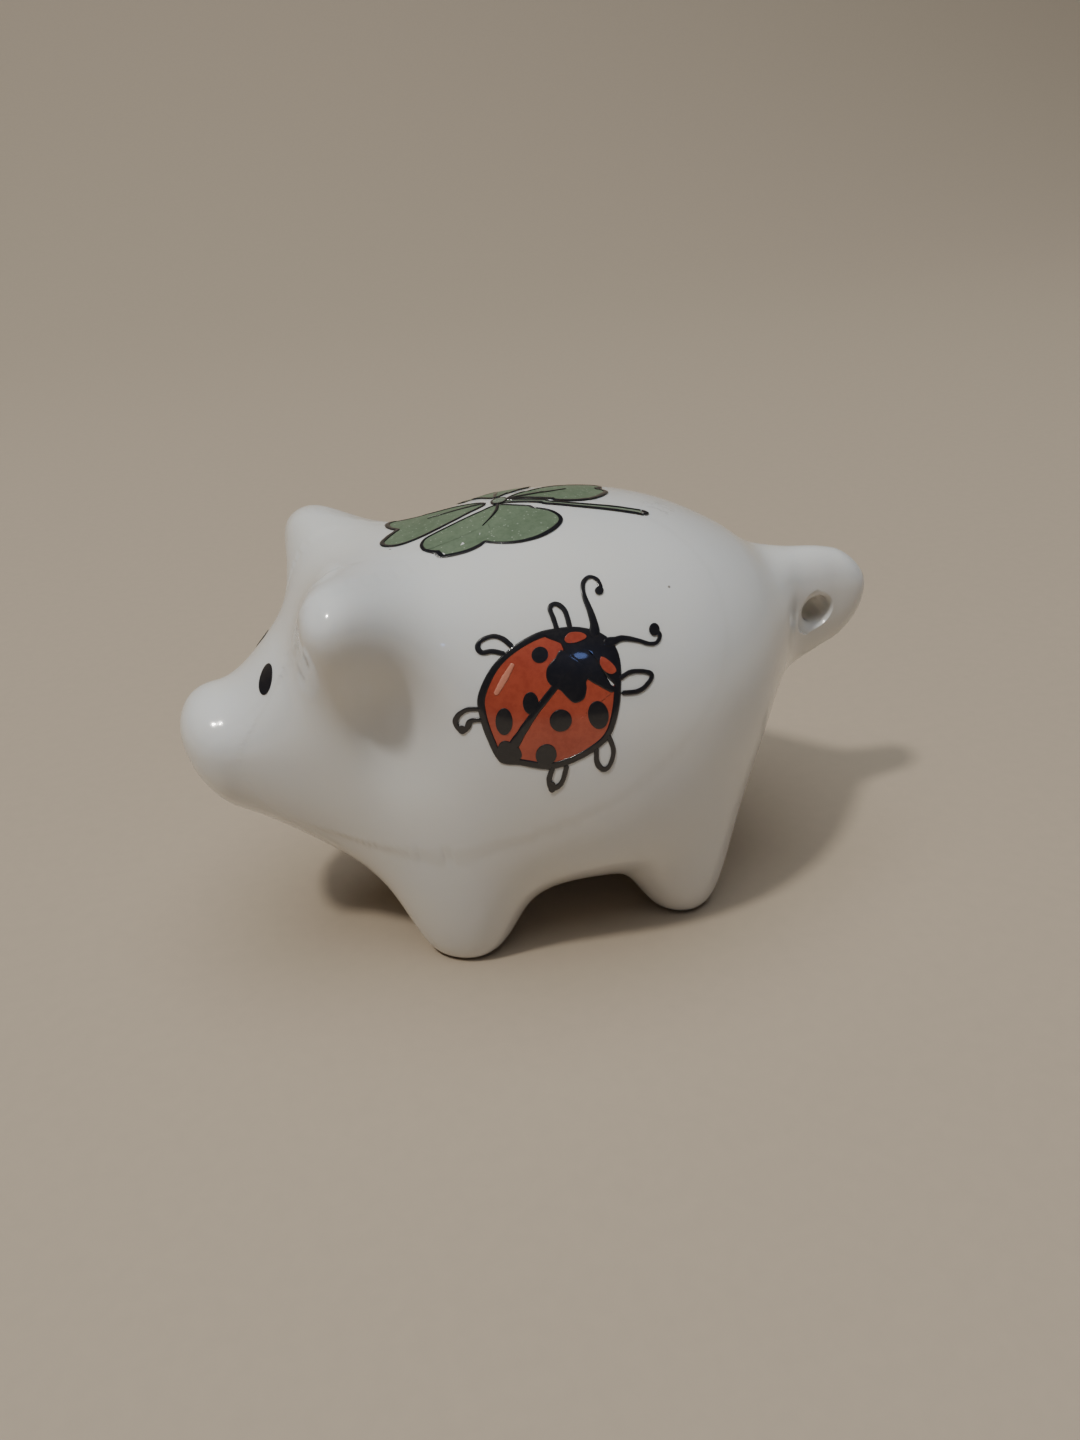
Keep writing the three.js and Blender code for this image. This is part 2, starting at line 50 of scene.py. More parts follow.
# Each row: x, height of the widest line, half width, rise of the back above it, drop to the belly
SECTIONS = np.array([
    [-25.0, 17.6, 4.1, 3.3, 3.8],
    [-21.6, 17.1, 4.4, 3.5, 5.2],
    [-17.6, 17.0, 6.2, 6.1, 7.6],
    [-13.1, 16.1, 8.7, 10.1, 9.7],
    [-8.1, 16.2, 11.1, 11.9, 11.9],
    [-2.1, 16.2, 12.6, 13.9, 12.8],
    [3.9, 16.8, 13.0, 13.2, 13.0],
    [9.4, 17.6, 11.7, 11.1, 10.6],
    [13.7, 18.6, 8.7, 7.8, 7.8],
    [16.3, 19.6, 5.7, 4.9, 5.9],
    [18.5, 20.1, 3.0, 3.9, 5.2],
    [21.4, 20.6, 1.9, 3.0, 4.6],
    [25.0, 20.3, 2.0, 2.2, 3.0],
])
SNOUT_X, TAIL_X = SECTIONS[0, 0], SECTIONS[-1, 0]
SQUARENESS = 2.1
SNOUT_ROUND = 2.8
TAIL_ROUND = 2.6

LEGS = [(-8.25, 6.15, 4.0), (8.15, 6.45, 3.6)]  # x, track either side, radius half way up
LEG_STEEPNESS = 5.7
LEG_REACH = 9.2
HAUNCH_SHARE, HAUNCH_REACH, HAUNCH_STEEPNESS = 0.24, 1.62, 2.8  # the gentler pull round each leg
SOLE_CUT = 0.12
SOLE_EDGE = 0.12  # rounding where the glaze stops at the sole

# Root, lean, height, reach towards the snout, towards the tail and up or down
EAR = ((-12.4, 5.2, 24.6), (-0.38, 0.7, 0.61), 6.3, 2.9, 3.7, 4.0)
EAR_HOLLOW = ((-11.5, 9.6, 20.0), (0.1, 1.0, 0.0), -2.1, 2.4, 3.3, 4.4)
PUSH_STEEPNESS = 3.0  # how abruptly a push leaves the skin round it
PUSH_DEPTH = 6.0  # how far behind its root a push still reaches

WALL = 2.4
HOLLOW = (-21.0, 15.2)
POUR_X, POUR_RADIUS, POUR_LIP = 1.0, 3.0, 0.7
THREAD_X, THREAD_Z, THREAD_RADIUS, THREAD_LIP = 20.55, 19.4, 1.05, 0.8
THREAD_FACE = 2.05  # half the lug's thickness at the hole


# ---- The skin ---------------------------------------------------------------------------------

def smooth(t):
    """Eases from 0 to 1."""
    t = np.clip(t, 0, 1)
    return t * t * (3 - 2 * t)


def round_end(t):
    """Quarter circle that starts upright at 0 and is level from 1 on."""
    return np.sqrt(np.maximum(1 - (1 - np.clip(t, 0, 1)) ** 2, 0))


def section(x):
    """Widest line, half width, rise and drop at x: cubics whose slope at each section is the mean
    of the slopes on its two sides, weighted by the other side's length."""
    knots, values = SECTIONS[:, 0], SECTIONS[:, 1:]
    length = np.diff(knots)
    rise = np.diff(values, axis=0) / length[:, None]
    slopes = np.empty_like(values)
    weighted = rise[:-1] * length[1:, None] + rise[1:] * length[:-1, None]
    slopes[1:-1] = weighted / (length[:-1] + length[1:])[:, None]
    slopes[0], slopes[-1] = rise[0], rise[-1]
    i = np.clip(np.searchsorted(knots, x, side="right") - 1, 0, len(length) - 1)
    span = length[i][..., None]
    t = ((x - knots[i]) / length[i])[..., None]
    out = (
        (2 * t**3 - 3 * t**2 + 1) * values[i]
        + (t**3 - 2 * t**2 + t) * span * slopes[i]
        + (3 * t**2 - 2 * t**3) * values[i + 1]
        + (t**3 - t**2) * span * slopes[i + 1]
    )
    return np.moveaxis(out, -1, 0)


def rounder(v):
    """Sine or cosine bent so that the cross-section is a little boxier than an ellipse."""
    return np.sign(v) * np.abs(v) ** (2 / SQUARENESS)


def soft_floor(z, edge):
    """The larger of z and 0, with the corner rounded over the given height."""
    near = np.maximum(edge - np.abs(z), 0) / edge
    return np.maximum(z, 0) + near**2 * edge / 4


def skin(x, angle):
    """Outer skin of the porcelain: an oval whose size runs along x, angle 0 on the back and a
    quarter turn on the left flank. Legs pull the belly straight down to the ground, by a share
    that falls with the distance from the foot, in a gentle wide pull and a steep one. Ears push
    the skin out along their lean, and the hollow under each ear pushes it in."""
    x, angle = np.broadcast_arrays(np.asarray(x, float), np.asarray(angle, float))
    ends = round_end((x - SNOUT_X) / SNOUT_ROUND) * round_end((TAIL_X - x) / TAIL_ROUND)
    middle, half, rise, drop = section(x)
    up = rounder(np.cos(angle))
    y = -half * ends * rounder(np.sin(angle))
    z = middle + ends * up * np.where(up > 0, rise, drop)
    low = smooth((middle + 1 - z) / LEG_REACH)
    for leg_x, track, radius in LEGS:
        for side in (-1, 1):
            away = np.hypot(x - leg_x, y - side * track) / radius
            gentle = HAUNCH_SHARE / (1 + (away / HAUNCH_REACH) ** HAUNCH_STEEPNESS)
            z = z - z * low * gentle
            z = z - (z + SOLE_CUT) * low / (1 + away**LEG_STEEPNESS)
    z = soft_floor(z, SOLE_EDGE)
    place = np.stack([x, y, z], axis=-1)
    for push in (EAR, EAR_HOLLOW):
        for side in (-1, 1):
            place = pushed(place, side, *push)
    return place


def pushed(place, side, root, lean, height, front, back, across):
    """Pushes points along a lean, by a share that falls with the distance from its axis."""
    mirror = np.array([1, side, 1])
    lean = np.array(lean) * mirror
    lean = lean / np.linalg.norm(lean)
    arm = place - np.array(root) * mirror
    along = arm @ lean
    arm = arm - along[..., None] * lean
    fore = np.array([1.0, 0, 0]) - lean[0] * lean
    fore = fore / np.linalg.norm(fore)
    a, b = arm @ fore, arm @ np.cross(lean, fore)
    away = np.hypot(a / np.where(a < 0, front, back), b / across)
    push = height / (1 + away**PUSH_STEEPNESS) * (along > -PUSH_DEPTH)
    return place + push[..., None] * lean


def lifted(x, angle, lift):
    """A point of the skin raised along the skin's normal, which is the cross product of the steps
    round and along the skin."""
    step = 0.02
    along = skin(x + step, angle) - skin(x - step, angle)
    around = skin(x, angle + step) - skin(x, angle - step)
    normal = np.cross(around, along)
    normal = normal / np.linalg.norm(normal, axis=-1, keepdims=True)
    return skin(x, angle) + normal * np.asarray(lift)[..., None]


def even_x(count):
    """Places along x that are evenly spaced along the skin's outline rather than along x."""
    x = SNOUT_X + (TAIL_X - SNOUT_X) * (1 - np.cos(np.linspace(0, math.pi, 4000))) / 2
    back = skin(x, np.full_like(x, 0.6))
    run = np.concatenate([[0], np.cumsum(np.linalg.norm(np.diff(back, axis=0), axis=1))])
    return np.interp(np.linspace(0, run[-1], count), run, x)


# ---- Meshes -----------------------------------------------------------------------------------

def grid_faces(rows, columns, closed):
    """Quads of a grid of points, closed round its columns or open."""
    i = np.arange(rows - 1)[:, None]
    j = np.arange(columns if closed else columns - 1)[None, :]
    after = (j + 1) % columns
    quads = [i * columns + j, i * columns + after, (i + 1) * columns + after, (i + 1) * columns + j]
    return np.stack(np.broadcast_arrays(*quads), axis=-1).reshape(-1, 4)


def piece(name, parts, weld=1e-4):
    """A mesh object from (points, faces) parts in millimetres: rows that meet in a pole are
    welded, faces are turned outwards and shaded smooth."""
    points, faces, first = [], [], 0
    for part_points, part_faces in parts:
        flat = part_points.reshape(-1, 3)
        points.append(flat)
        faces.append(part_faces + first)
        first += len(flat)
    mesh = bpy.data.meshes.new(name)
    mesh.from_pydata(np.concatenate(points) * MM, [], np.concatenate(faces).tolist())
    work = bmesh.new()
    work.from_mesh(mesh)
    bmesh.ops.remove_doubles(work, verts=work.verts, dist=weld * MM)
    bmesh.ops.dissolve_degenerate(work, edges=work.edges, dist=weld * MM)
    bmesh.ops.recalc_face_normals(work, faces=work.faces)
    work.to_mesh(mesh)
    work.free()
    mesh.shade_smooth()
    made = bpy.data.objects.new(name, mesh)
    bpy.context.scene.collection.objects.link(made)
    return made


def shell(surface, x, spokes):
    """Closed skin: rings of a surface of (x, angle) at each x, the first and last being poles."""
    angle = np.arange(spokes) * 2 * math.pi / spokes
    points = surface(x[:, None], angle[None, :])
    return points, grid_faces(len(x), spokes, True)


def lathe(profile, along, centre, spokes=64):
    """Solid of revolution: (distance from the centre, radius) rows turned round the y or z axis."""
    profile = np.array(profile, float)
    angle = np.arange(spokes) * 2 * math.pi / spokes
    ring = profile[:, 1:2] * np.stack([np.cos(angle), np.sin(angle)])[:, None, :]
    depth = np.broadcast_to(profile[:, :1], ring[0].shape)
    axes = {"y": (ring[0], depth, ring[1]), "z": (ring[0], ring[1], depth)}[along]
    return np.stack(axes, axis=-1) + np.array(centre), grid_faces(len(profile), spokes, True)


def carve(body, tools):
    """Cuts each tool out of the body for good, and deletes the tools."""
    for tool in tools:
        cut = body.modifiers.new("cut", "BOOLEAN")
        cut.operation = "DIFFERENCE"
        cut.solver = "EXACT"
        cut.object = tool
    graph = bpy.context.evaluated_depsgraph_get()
    mesh = bpy.data.meshes.new_from_object(body.evaluated_get(graph))
    body.modifiers.clear()
    body.data = mesh
    for tool in tools:
        bpy.data.objects.remove(tool)


# ---- Prints: drawings in millimetres laid round the skin --------------------------------------

class Sheet:
    """A drawing's place on the skin: its middle, the length there of a turn of one radian, the
    share of a millimetre along the sheet that is a millimetre of x, and the drawing's turn."""

    def __init__(self, x, degrees, radius, share=1.0, turn=0.0):
        self.x, self.angle, self.radius, self.share = x, math.radians(degrees), radius, share
        self.cos, self.sin = math.cos(turn), math.sin(turn)

    def place(self, drawing, lift):
        """Points (p, q) of the drawing on the skin, raised by lift."""
        p, q = drawing[..., 0], drawing[..., 1]
        u, v = p * self.cos - q * self.sin, p * self.sin + q * self.cos
        return lifted(self.x + u * self.share, self.angle - v / self.radius, lift)


LADYBIRD = Sheet(-2.0, 68.5, 13.3, turn=math.pi / 4)
CLOVER = Sheet(-1.8, -1.3, 12.6)
EYES = {side: Sheet(-18.4, side * 30, 6.1, 0.72, side * -0.4) for side in (1, -1)}
EYE = (0.74, 1.15)  # half width and half height

BED = 0.02  # the lowest print starts this high over the skin
THICK = 0.035  # each print is this thick, and each level over the lowest is this high


def spline(points, count, closed=False):
    """Smooth curve through the points, a cubic between each two with the slope of its neighbours'
    chord at each."""
    points = np.array(points, float)
    if closed:
        control = np.concatenate([points[-1:], points, points[:2]])
        t = np.arange(count) * len(points) / count
    else:
        first, last = 2 * points[0] - points[1], 2 * points[-1] - points[-2]
        control = np.concatenate([[first], points, [last]])
        t = np.linspace(0, len(points) - 1, count)
    i = np.minimum(t.astype(int), len(control) - 4)
    s = (t - i)[:, None]
    a, b, c, d = (control[i + k] for k in range(4))
    return 0.5 * (2 * b + (c - a) * s + (2 * a - 5 * b + 4 * c - d) * s**2
                  + (3 * b - a - 3 * c + d) * s**3)


def patch(sheet, outline, centre, level=0):
    """Film of enamel: rings that shrink from the outline to a centre, its face sloping down to
    the skin over the last tenth of a millimetre or so, and its underside close to the skin."""
    shares = np.array([0, 0.15, 0.3, 0.45, 0.6, 0.72, 0.82, 0.9, 0.95, 0.98, 1.0])
    height = np.array([1, 1, 1, 1, 1, 1, 1, 1, 0.97, 0.85, 0.0])
    drawing = np.array(centre) + shares[:, None, None] * (outline[None] - np.array(centre))
    base = BED + level * THICK
    top = sheet.place(drawing, np.broadcast_to(base + THICK * height[:, None], drawing.shape[:2]))
    under = sheet.place(drawing, np.full(drawing.shape[:2], base))
    points = np.concatenate([top, under[-2::-1]])
    return points, grid_faces(len(points), len(outline), True)


def stroke(sheet, points, widths, level=1, count=60, closed=False):
    """Line of enamel: a low dome carried along a smooth curve, its width running evenly through
    the given ones, its ends rounded."""
    path = spline(points, count, closed)
    if closed:
        step = np.roll(path, -1, axis=0) - np.roll(path, 1, axis=0)
    else:
        step = np.gradient(path, axis=0)
    run = np.linalg.norm(step, axis=1, keepdims=True)
    side = np.stack([-step[:, 1], step[:, 0]], axis=1) / run
    where = np.linspace(0, 1, count)
    half = np.interp(where, np.linspace(0, 1, len(widths)), widths) / 2
    half = half * (1 + 0.05 * np.sin(37 * where + 2 * len(points)) * np.sin(11 * where))
    if not closed:
        length = np.concatenate([[0], np.cumsum(run[1:, 0])])
        half = half * round_end(length / half[0]) * round_end((length[-1] - length) / half[-1])
    across = np.linspace(-1, 1, 9)
    offset = np.concatenate([across, across[-2:0:-1]])
    height = np.concatenate([np.sqrt(np.maximum(1 - across**2, 0)) ** 0.6, np.zeros(7)])
    drawing = path[:, None] + side[:, None] * (half[:, None] * offset)[..., None]
    base = BED + level * THICK
    lift = np.broadcast_to(base + THICK * height, drawing.shape[:2])
    placed = sheet.place(drawing, lift)
    if closed:
        placed = np.concatenate([placed, placed[:1]])
    return placed, grid_faces(len(placed), len(offset), True)


def oval(p, q, rx, ry, turn=0.0, count=48):
    """Outline of an ellipse."""
    a = np.arange(count) * 2 * math.pi / count
    x, y = rx * np.cos(a), ry * np.sin(a)
    return np.stack([p + x * math.cos(turn) - y * math.sin(turn),
                     q + x * math.sin(turn) + y * math.cos(turn)], axis=-1)


# ---- Materials --------------------------------------------------------------------------------

# Iron specks under the glaze: place and radius. RUB is where the glaze is rubbed dull
SPECKS = [
    ((-4.6, -11.3, 8.9), 0.11), ((-5.8, -11.0, 7.8), 0.08), ((-1.7, -12.4, 12.5), 0.07),
    ((6.6, -8.7, 26.4), 0.1), ((11.5, 7.2, 21.0), 0.09), ((-3.0, 10.5, 10.0), 0.08),
]
RUB = (8.85, -1.2, 29.0)
RUB_REACH, RUB_FADE = 0.0016, 0.0009  # metres from its middle to its edge, and its soft margin
GLOSSY, MATT = 0.16, 0.85  # roughness of the glaze and of bare clay


class Finish:
    """A material's nodes, added one by one and wired by name."""

    def __init__(self, name):
        self.material = bpy.data.materials.new(name)
        self.material.use_nodes = True
        self.nodes = self.material.node_tree.nodes
        self.links = self.material.node_tree.links
        self.shader = self.nodes["Principled BSDF"]
        self.place = self.add("ShaderNodeTexCoord").outputs["Object"]

    def add(self, kind, wires=(), **values):
        """A node with its settings and socket values; wires are (socket, what feeds it)."""
        node = self.nodes.new(kind)
        for name, value in values.items():
            if name in node.inputs:
                node.inputs[name].default_value = value
            else:
                setattr(node, name, value)
        for socket, source in wires:
            self.links.new(source, node.inputs[socket])
        return node

    def set(self, **values):
        for name, value in values.items():
            self.shader.inputs[name.replace("_", " ")].default_value = value

    def feed(self, socket, source):
        self.links.new(source, self.shader.inputs[socket])

    def noise(self, scale, detail=2.0, roughness=0.5):
        """Noise whose lumps are about 1 / scale metres across."""
        return self.add("ShaderNodeTexNoise", [("Vector", self.place)],
                        Scale=scale, Detail=detail, Roughness=roughness).outputs["Fac"]

    def math(self, operation, a, b=None, clamp=False):
        node = self.add("ShaderNodeMath", operation=operation, use_clamp=clamp)
        for socket, value in zip(node.inputs, (a, b)):
            if isinstance(value, (int, float)):
                socket.default_value = value
            elif value is not None:
                self.links.new(value, socket)
        return node.outputs[0]

    def ramp(self, source, low, high):
        """0 below low, 1 above high, eased between."""
        node = self.add("ShaderNodeMapRange", [("Value", source)], interpolation_type="SMOOTHSTEP")
        node.inputs["From Min"].default_value = low
        node.inputs["From Max"].default_value = high
        return node.outputs["Result"]

    def mix(self, share, a, b):
        """Colour a where share is 0 and b where it is 1."""
        node = self.add("ShaderNodeMix", data_type="RGBA")
        for socket, value in ((node.inputs["Factor"], share), (node.inputs[6], a), (node.inputs[7], b)):
            if isinstance(value, (tuple, float, int)):
                socket.default_value = (*value, 1) if isinstance(value, tuple) else value
            else:
                self.links.new(value, socket)
        return node.outputs[2]

    def bump(self, height, distance, strength=1.0):
        node = self.add("ShaderNodeBump", [("Height", height)])
        node.inputs["Strength"].default_value = strength
        node.inputs["Distance"].default_value = distance
        return node.outputs["Normal"]


def glazed_porcelain():
    """White body under clear glaze: a faint drift of tint, a ripple like orange peel, a few iron
    specks, and bare matt clay on the soles, where the glaze is wiped off."""
    f = Finish("glazed_porcelain")
    drift = f.ramp(f.noise(90, 2), 0.35, 0.65)
    glaze = f.mix(drift, (0.80, 0.79, 0.755), (0.775, 0.775, 0.765))
    cells = f.add("ShaderNodeTexVoronoi", [("Vector", f.place)], Scale=420.0)
    chosen = f.add("ShaderNodeSeparateColor", [("Color", cells.outputs["Color"])])
    dot = f.math("LESS_THAN", cells.outputs["Distance"], 0.035)
    rare = f.math("GREATER_THAN", chosen.outputs["Red"], 0.93)
    speck = f.math("MULTIPLY", dot, rare)
    for place, size in SPECKS:
        away = f.add("ShaderNodeVectorMath", [(0, f.place)], operation="DISTANCE")
        away.inputs[1].default_value = [v * MM for v in place]
        speck = f.math("MAXIMUM", speck, f.math("LESS_THAN", away.outputs["Value"], size * MM))
    glaze = f.mix(f.math("MULTIPLY", speck, 0.75), glaze, (0.16, 0.12, 0.09))
    rub = f.add("ShaderNodeVectorMath", [(0, f.place)], operation="DISTANCE")
    rub.inputs[1].default_value = [v * MM for v in RUB]
    near = f.ramp(f.math("SUBTRACT", RUB_REACH, rub.outputs["Value"]), 0.0, RUB_FADE)
    worn = f.math("MULTIPLY", near, f.ramp(f.noise(2200, 4, 0.7), 0.52, 0.6))
    glaze = f.mix(f.math("MULTIPLY", worn, 0.35), glaze, (0.30, 0.29, 0.27))
    height = f.add("ShaderNodeSeparateXYZ", [("Vector", f.place)]).outputs["Z"]
    edge = f.math("ADD", height, f.math("MULTIPLY", f.noise(700, 3), 0.0002))
    bare = f.math("SUBTRACT", 1.0, f.ramp(edge, 0.00022, 0.00034))
    grain = f.noise(5000, 3)
    clay = f.mix(grain, (0.66, 0.61, 0.54), (0.78, 0.75, 0.69))
    f.feed("Base Color", f.mix(bare, glaze, clay))
    f.feed("Roughness", f.add("ShaderNodeMapRange", [("Value", bare)], **{
        "To Min": GLOSSY, "To Max": MATT}).outputs["Result"])
    ripple = f.math("ADD", f.noise(160, 1), f.math("MULTIPLY", f.noise(900, 2), 0.25))
    rough = f.math("MULTIPLY", f.math("MULTIPLY", grain, bare), 0.6)
    f.feed("Normal", f.bump(f.math("ADD", ripple, rough), 0.00006, 0.7))
    f.feed("Coat Normal", f.bump(ripple, 0.00003, 0.7))
    f.set(Coat_Weight=0.6, Coat_Roughness=0.03, IOR=1.5, Subsurface_Weight=0.12,
          Subsurface_Radius=(1.0, 0.8, 0.6), Subsurface_Scale=0.0015)
    return f.material


def enamel(name, light, dark, grain_scale, grain_low, grain_high, speckle=None, gloss=0.7):
    """Fired print under gloss: the colour drifts between two shades with the screen's grain in it,
    and may carry fine pale speckles."""
    f = Finish(name)
    wash = f.ramp(f.noise(350, 3), 0.3, 0.7)
    grain = f.ramp(f.noise(grain_scale, 2, 0.7), grain_low, grain_high)
    colour = f.mix(f.math("MULTIPLY", f.math("ADD", wash, grain), 0.5), light, dark)
    if speckle:
        tone, scale, reach, share = speckle
        cells = f.add("ShaderNodeTexVoronoi", [("Vector", f.place)], Scale=scale)
        pick = f.add("ShaderNodeSeparateColor", [("Color", cells.outputs["Color"])]).outputs["Green"]
        inside = f.math("LESS_THAN", cells.outputs["Distance"], reach)
        rare = f.math("GREATER_THAN", pick, share)
        colour = f.mix(f.math("MULTIPLY", f.math("MULTIPLY", inside, rare), 0.6), colour, tone)
    f.feed("Base Color", colour)
    f.feed("Normal", f.bump(f.noise(2500, 2), 0.000006, 0.6))
    f.set(Roughness=0.6 - 0.4 * gloss, Coat_Weight=gloss, Coat_Roughness=0.05,
          IOR=1.3 + 0.28 * gloss)
    return f.material


# ---- The porcelain ----------------------------------------------------------------------------

def hollow(x, angle):
    """Skin of the hollow: the same ovals less the wall, without legs or ears."""
    ends = round_end((x - HOLLOW[0]) / WALL) * round_end((HOLLOW[1] - x) / WALL)
    middle, half, rise, drop = section(np.broadcast_to(x, np.broadcast(x, angle).shape))
    up = np.cos(angle)
    y = -(half - WALL) * ends * np.sin(angle)
    z = middle + ends * up * (np.where(up > 0, rise, drop) - WALL)
    return np.stack(np.broadcast_arrays(x, y, z), axis=-1)


def flared(reach, face, radius, lip, steps=12):
    """Profile of a hole's cutter that widens like a trumpet where it comes out of a face."""
    turn = np.linspace(0, math.pi / 2, steps)
    out = face - lip + lip * np.sin(turn)
    wide = radius + lip * (1 - np.cos(turn))
    return [(0.0, radius), *zip(out, wide), (reach, radius + lip * 1.6)]


def make_porcelain():
    """The glazed casting with its tail lug, hollow, pour hole and thread hole."""
    body = piece("porcelain_glazed", [shell(skin, even_x(330), 256)])
    inside = piece("tool_hollow", [shell(hollow, np.linspace(*HOLLOW, 60), 64)])
    pour_rows = [(9.0, 0.0), (9.0, POUR_RADIUS)]
    turn = np.linspace(0, math.pi / 2, 10)
    face = float(skin(POUR_X, math.pi)[2])
    pour_rows += [(face + POUR_LIP * (1 - math.sin(a)), POUR_RADIUS + POUR_LIP * (1 - math.cos(a)))
                  for a in turn]
    pour_rows += [(face - 0.8, POUR_RADIUS + POUR_LIP * 1.4), (face - 0.8, 0.0)]
    pour = piece("tool_pour", [lathe(pour_rows, "z", (POUR_X, 0, 0))])
    half = flared(4.0, THREAD_FACE, THREAD_RADIUS, THREAD_LIP)
    rows = [(-4.0, 0.0), *[(-d, r) for d, r in half[::-1]], *half[1:], (4.0, 0.0)]
    thread = piece("tool_thread", [lathe(rows, "y", (THREAD_X, 0, THREAD_Z))])
    carve(body, [inside, pour, thread])
    body.data.shade_smooth()
    body.data.set_sharp_from_angle(angle=math.radians(50))
    body.data.materials.clear()
    body.data.materials.append(glazed_porcelain())
    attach(body, "root")
    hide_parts("porcelain_body", "tail_lug")
    return body


# ---- The prints -------------------------------------------------------------------------------

def printed(name, parts, material, slot, *nodes):
    """A print's piece, standing for its CAD nodes."""
    made = piece(name, parts)
    made.data.materials.append(material)
    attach(made, "root")
    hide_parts(*nodes)
    return made


def make_eyes(black):
    """An upright oval on each side of the face."""
    for name, side in (("eye_left", 1), ("eye_right", -1)):
        printed(f"{name}_print", [patch(EYES[side], oval(0, 0, *EYE), (0, 0))],
                black, "black_enamel", name)


# The ladybird's drawing: p runs to its head, q to its left
RIM = [(3.6, 2.2), (2.7, 3.0), (1.2, 3.7), (-0.3, 3.9), (-2.0, 3.45), (-3.0, 2.6), (-3.9, 1.4),
       (-4.55, 0.1), (-4.0, -0.8), (-3.1, -2.3), (-1.9, -3.2), (-0.6, -3.8), (0.5, -3.95),
       (1.8, -3.45), (3.0, -2.7), (4.2, -1.8), (4.8, -0.9), (4.85, 0.1), (4.4, 1.2)]
WING_LINE = [(3.55, 2.1), (3.3, 1.5), (2.95, 0.9), (2.75, 0.3), (2.6, -0.4), (2.5, -1.0),
             (2.6, -1.8), (2.7, -2.7)]
SEAM = [(2.6, 0.2), (1.0, 0.35), (-1.2, 0.4), (-2.8, 0.25), (-4.3, 0.0)]
SEAM_WIDTHS = [0.4, 0.42, 0.42, 0.55, 0.75]
BACK_TIP = [(-4.78, 0.1), (-4.1, 0.75), (-3.5, 0.75), (-3.3, 0.0), (-3.6, -0.6), (-4.2, -0.6)]
SHIELD = [(2.9, 1.2), (2.2, 1.35), (1.5, 1.4), (0.95, 1.05), (0.75, 0.5), (0.85, 0.0),
          (0.75, -0.6), (0.75, -1.15), (1.25, -1.45), (1.8, -1.25), (2.2, -0.95), (2.8, -0.9)]
SPOTS = [  # p, q, half length, half width, turn
    (1.9, 2.2, 0.5, 0.48, 0.0),
    (-0.75, 0.95, 0.68, 0.46, 0.7),
    (-2.55, 1.5, 0.85, 0.48, 0.65),
    (-0.55, -1.1, 0.66, 0.66, 0.0),
    (1.0, -2.75, 0.85, 0.62, 0.9),
    (-2.7, -1.7, 0.68, 0.62, 0.4),
]
CHEEKS = [  # a slanted stripe and a triangle
    [(4.35, 0.55), (4.4, 0.95), (4.0, 1.5), (3.5, 1.55), (3.4, 1.25), (3.8, 0.8)],
    [(3.9, -0.85), (3.95, -1.5), (3.75, -2.05), (3.4, -1.95), (3.3, -1.5), (3.5, -1.0)],
]
GLINT = [(0.65, 3.2), (-0.35, 3.07), (-1.5, 2.9)]
BUG_LEGS = [
    [(1.45, 3.8), (1.6, 4.6), (1.45, 5.2), (0.9, 5.6), (0.45, 5.5), (0.3, 5.1), (0.65, 4.65),
     (0.9, 3.9)],
    [(3.7, 2.2), (4.2, 2.8), (4.6, 3.3), (4.95, 3.3), (5.1, 3.0), (4.95, 2.45), (4.2, 1.6)],
    [(-2.7, 3.0), (-3.2, 3.5), (-3.85, 3.6), (-4.4, 3.35), (-4.6, 2.85), (-4.2, 2.75),
     (-3.7, 2.9), (-3.2, 2.5)],
    [(3.4, -2.5), (4.15, -2.85), (4.65, -3.55), (4.75, -4.1), (4.2, -4.2), (3.5, -3.95),
     (2.8, -3.1)],
    [(0.4, -4.0), (-0.15, -4.9), (-0.95, -5.3), (-1.35, -5.1), (-1.25, -4.5), (-0.6, -3.9)],
    [(-2.4, -3.1), (-3.4, -3.5), (-4.0, -3.25), (-3.75, -2.8), (-3.0, -2.5)],
]
FEELERS = [
    [(4.6, 0.2), (5.2, 0.55), (5.8, 1.2), (6.5, 2.1), (7.2, 2.6), (7.8, 2.55), (7.95, 2.1),
     (7.7, 1.7), (7.45, 1.55)],
    [(4.6, -0.5), (5.1, -0.9), (5.6, -1.3), (6.0, -2.1), (6.25, -2.85), (6.6, -3.2),
     (7.1, -3.1), (7.25, -2.65)],
]

KNOBS = [  # where feelers and hind feet end: p, q, half length, half width, turn
    (7.35, 1.55, 0.3, 0.26, 0.0),
    (7.2, -2.6, 0.42, 0.34, 0.5),
    (-4.5, 2.85, 0.3, 0.22, 0.6),
    (-3.95, -3.2, 0.3, 0.24, 0.6),
]


def wing_cases():
    """The two red halves, each from the seam out to the middle of the rim."""
    rim = spline(RIM, 400, closed=True)
    for side in (1, -1):
        outer = rim[(rim[:, 0] < 3.3) & (side * rim[:, 1] > 0.1)]
        outer = outer[np.argsort(side * np.arctan2(outer[:, 1], outer[:, 0]))]
        front = spline(WING_LINE, 60)
        front = front[side * (front[:, 1] - 0.3) > 0]
        front = front[np.argsort(side * front[:, 1])]
        seam = spline(SEAM, 60)[::-1]
        outline = np.concatenate([seam, front, outer])
        yield side, outline if side > 0 else outline[::-1]


